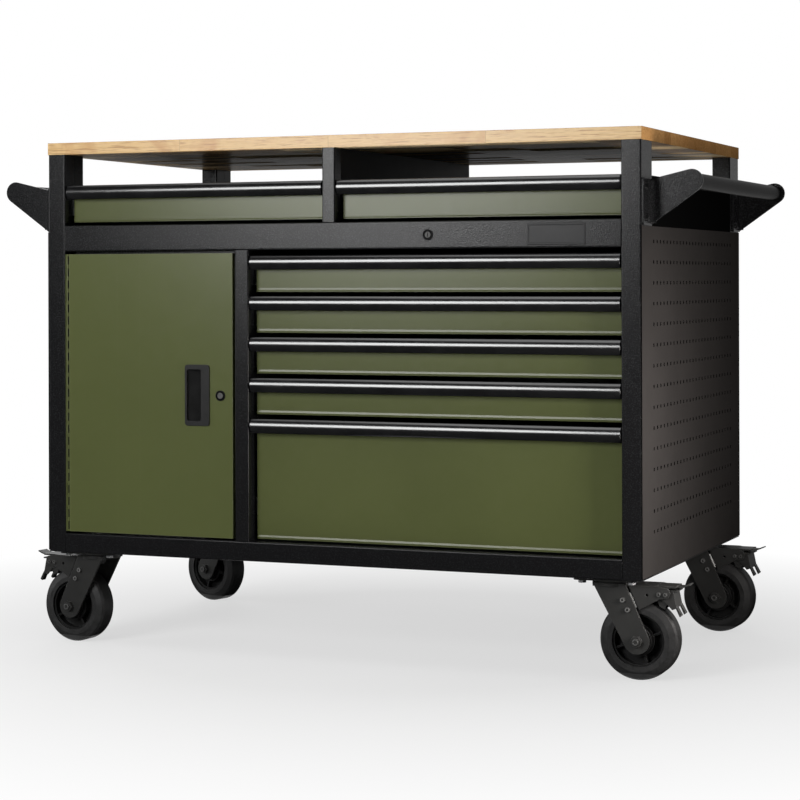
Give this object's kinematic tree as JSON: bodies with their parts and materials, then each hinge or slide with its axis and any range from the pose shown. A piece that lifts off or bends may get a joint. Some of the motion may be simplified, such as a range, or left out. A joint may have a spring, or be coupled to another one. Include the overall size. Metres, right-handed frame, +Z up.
{
  "type": "workbench roller cabinet",
  "caption": "Mobile workbench with a wooden worktop over a black steel frame, green drawers on telescopic slides, a hinged cupboard door, push handles and braked swivel casters.",
  "frame": {"origin": "on the floor under the middle of the cabinet", "axes": "+X right along the worktop, -Y the drawer side, +Z up"},
  "size_m": [1.392, 0.722, 0.98],
  "materials": {
    "wood": "oiled butcher block",
    "frame_black": "textured black powder coat",
    "green": "satin olive green paint",
    "pull_black": "gloss black",
    "zinc": "zinc plated",
    "lock_black": "black lock furniture",
    "caster_black": "satin black",
    "tyre": "black rubber",
    "grip_black": "black moulding"
  },
  "bodies": {
    "frame": {"worktop": "wood", "front_posts": "frame_black", "rear_posts": "frame_black", "upper_rail": "frame_black", "lower_rail": "frame_black", "centre_post": "frame_black", "middle_post": "frame_black", "upper_divider": "frame_black", "partition": "frame_black", "left_side_panel": "frame_black", "right_side_panel": "frame_black", "back_panel": "frame_black", "floor_pan": "frame_black", "deck_panel": "frame_black", "handle_bars": "frame_black", "handle_cheeks": "frame_black", "slide_rails": "zinc", "hinge_frame_leaf": "green", "caster_plates": "caster_black", "caster_bolts": "zinc", "rail_lock_housing": "lock_black"},
    "door": {"door_panel": "green", "hinge_door_leaf": "green", "door_pull": "grip_black", "door_lock_housing": "lock_black"},
    "rail_lock": {"rail_lock_barrel": "lock_black"},
    "door_lock": {"door_lock_barrel": "lock_black"},
    "upper_left_drawer": {"upper_left_drawer": "green", "upper_left_pull": "pull_black"},
    "upper_left_runners": {"upper_left_runners": "zinc"},
    "upper_right_drawer": {"upper_right_drawer": "green", "upper_right_pull": "pull_black"},
    "upper_right_runners": {"upper_right_runners": "zinc"},
    "drawer_1": {"drawer_1": "green", "pull_1": "pull_black"},
    "runners_1": {"runners_1": "zinc"},
    "drawer_2": {"drawer_2": "green", "pull_2": "pull_black"},
    "runners_2": {"runners_2": "zinc"},
    "drawer_3": {"drawer_3": "green", "pull_3": "pull_black"},
    "runners_3": {"runners_3": "zinc"},
    "drawer_4": {"drawer_4": "green", "pull_4": "pull_black"},
    "runners_4": {"runners_4": "zinc"},
    "deep_drawer": {"deep_drawer": "green", "deep_pull": "pull_black"},
    "deep_runners": {"deep_runners": "zinc"},
    "caster_front_right": {"fork_front_right": "caster_black"},
    "wheel_front_right": {"wheel_front_right": "tyre"},
    "pedal_front_right": {"pedal_front_right": "caster_black"},
    "caster_rear_right": {"fork_rear_right": "caster_black"},
    "wheel_rear_right": {"wheel_rear_right": "tyre"},
    "pedal_rear_right": {"pedal_rear_right": "caster_black"},
    "caster_front_left": {"fork_front_left": "caster_black"},
    "wheel_front_left": {"wheel_front_left": "tyre"},
    "pedal_front_left": {"pedal_front_left": "caster_black"},
    "caster_rear_left": {"fork_rear_left": "caster_black"},
    "wheel_rear_left": {"wheel_rear_left": "tyre"},
    "pedal_rear_left": {"pedal_rear_left": "caster_black"}
  },
  "joints": [
    {"name": "door_hinge", "type": "hinge", "parent": "frame", "child": "door", "pos_m": [-0.5568, -0.357, 0.49335], "axis": [0, 0, -1], "range_deg": [0, 110]},
    {"name": "rail_lock_turn", "type": "hinge", "parent": "frame", "child": "rail_lock", "pos_m": [0.198, -0.36, 0.7935], "axis": [0, -1, 0], "range_deg": [0, 90]},
    {"name": "door_lock_turn", "type": "hinge", "parent": "door", "child": "door_lock", "pos_m": [-0.2247, -0.359, 0.49335], "axis": [0, -1, 0], "range_deg": [0, 90]},
    {"name": "upper_left_drawer_slide", "type": "slide", "parent": "frame", "child": "upper_left_drawer", "axis": [0, -1, 0], "range_m": [0, 0.54]},
    {"name": "upper_left_runners_slide", "type": "slide", "parent": "frame", "child": "upper_left_runners", "axis": [0, -1, 0], "range_m": [0, 0.27]},
    {"name": "upper_right_drawer_slide", "type": "slide", "parent": "frame", "child": "upper_right_drawer", "axis": [0, -1, 0], "range_m": [0, 0.54]},
    {"name": "upper_right_runners_slide", "type": "slide", "parent": "frame", "child": "upper_right_runners", "axis": [0, -1, 0], "range_m": [0, 0.27]},
    {"name": "drawer_1_slide", "type": "slide", "parent": "frame", "child": "drawer_1", "axis": [0, -1, 0], "range_m": [0, 0.54]},
    {"name": "runners_1_slide", "type": "slide", "parent": "frame", "child": "runners_1", "axis": [0, -1, 0], "range_m": [0, 0.27]},
    {"name": "drawer_2_slide", "type": "slide", "parent": "frame", "child": "drawer_2", "axis": [0, -1, 0], "range_m": [0, 0.54]},
    {"name": "runners_2_slide", "type": "slide", "parent": "frame", "child": "runners_2", "axis": [0, -1, 0], "range_m": [0, 0.27]},
    {"name": "drawer_3_slide", "type": "slide", "parent": "frame", "child": "drawer_3", "axis": [0, -1, 0], "range_m": [0, 0.54]},
    {"name": "runners_3_slide", "type": "slide", "parent": "frame", "child": "runners_3", "axis": [0, -1, 0], "range_m": [0, 0.27]},
    {"name": "drawer_4_slide", "type": "slide", "parent": "frame", "child": "drawer_4", "axis": [0, -1, 0], "range_m": [0, 0.54]},
    {"name": "runners_4_slide", "type": "slide", "parent": "frame", "child": "runners_4", "axis": [0, -1, 0], "range_m": [0, 0.27]},
    {"name": "deep_drawer_slide", "type": "slide", "parent": "frame", "child": "deep_drawer", "axis": [0, -1, 0], "range_m": [0, 0.54]},
    {"name": "deep_runners_slide", "type": "slide", "parent": "frame", "child": "deep_runners", "axis": [0, -1, 0], "range_m": [0, 0.27]},
    {"name": "swivel_front_right", "type": "hinge", "parent": "frame", "child": "caster_front_right", "pos_m": [0.526, -0.29, 0.168], "axis": [0, 0, 1], "continuous": true},
    {"name": "spin_front_right", "type": "hinge", "parent": "caster_front_right", "child": "wheel_front_right", "pos_m": [0.57597, -0.28826, 0.071], "axis": [-0.0349, 0.9994, 0], "continuous": true},
    {"name": "brake_front_right", "type": "hinge", "parent": "caster_front_right", "child": "pedal_front_right", "pos_m": [0.61495, -0.28689, 0.155], "axis": [-0.0349, 0.9994, 0], "range_deg": [0, 8]},
    {"name": "swivel_rear_right", "type": "hinge", "parent": "frame", "child": "caster_rear_right", "pos_m": [0.526, 0.29, 0.168], "axis": [0, 0, 1], "continuous": true},
    {"name": "spin_rear_right", "type": "hinge", "parent": "caster_rear_right", "child": "wheel_rear_right", "pos_m": [0.57597, 0.28826, 0.071], "axis": [0.0349, 0.9994, 0], "continuous": true},
    {"name": "brake_rear_right", "type": "hinge", "parent": "caster_rear_right", "child": "pedal_rear_right", "pos_m": [0.61495, 0.28689, 0.155], "axis": [0.0349, 0.9994, 0], "range_deg": [0, 8]},
    {"name": "swivel_front_left", "type": "hinge", "parent": "frame", "child": "caster_front_left", "pos_m": [-0.526, -0.29, 0.168], "axis": [0, 0, 1], "continuous": true},
    {"name": "spin_front_left", "type": "hinge", "parent": "caster_front_left", "child": "wheel_front_left", "pos_m": [-0.57573, -0.28477, 0.071], "axis": [-0.1045, -0.9945, 0], "continuous": true},
    {"name": "brake_front_left", "type": "hinge", "parent": "caster_front_left", "child": "pedal_front_left", "pos_m": [-0.61451, -0.2807, 0.155], "axis": [-0.1045, -0.9945, 0], "range_deg": [0, 8]},
    {"name": "swivel_rear_left", "type": "hinge", "parent": "frame", "child": "caster_rear_left", "pos_m": [-0.526, 0.29, 0.168], "axis": [0, 0, 1], "continuous": true},
    {"name": "spin_rear_left", "type": "hinge", "parent": "caster_rear_left", "child": "wheel_rear_left", "pos_m": [-0.57382, 0.30462, 0.071], "axis": [-0.2924, -0.9563, 0], "continuous": true},
    {"name": "brake_rear_left", "type": "hinge", "parent": "caster_rear_left", "child": "pedal_rear_left", "pos_m": [-0.61111, 0.31602, 0.155], "axis": [-0.2924, -0.9563, 0], "range_deg": [0, 8]}
  ],
  "couplings": [
    {"joint": "upper_left_runners_slide", "follows": "upper_left_drawer_slide", "ratio": 0.5},
    {"joint": "upper_right_runners_slide", "follows": "upper_right_drawer_slide", "ratio": 0.5},
    {"joint": "runners_1_slide", "follows": "drawer_1_slide", "ratio": 0.5},
    {"joint": "runners_2_slide", "follows": "drawer_2_slide", "ratio": 0.5},
    {"joint": "runners_3_slide", "follows": "drawer_3_slide", "ratio": 0.5},
    {"joint": "runners_4_slide", "follows": "drawer_4_slide", "ratio": 0.5},
    {"joint": "deep_runners_slide", "follows": "deep_drawer_slide", "ratio": 0.5}
  ]
}
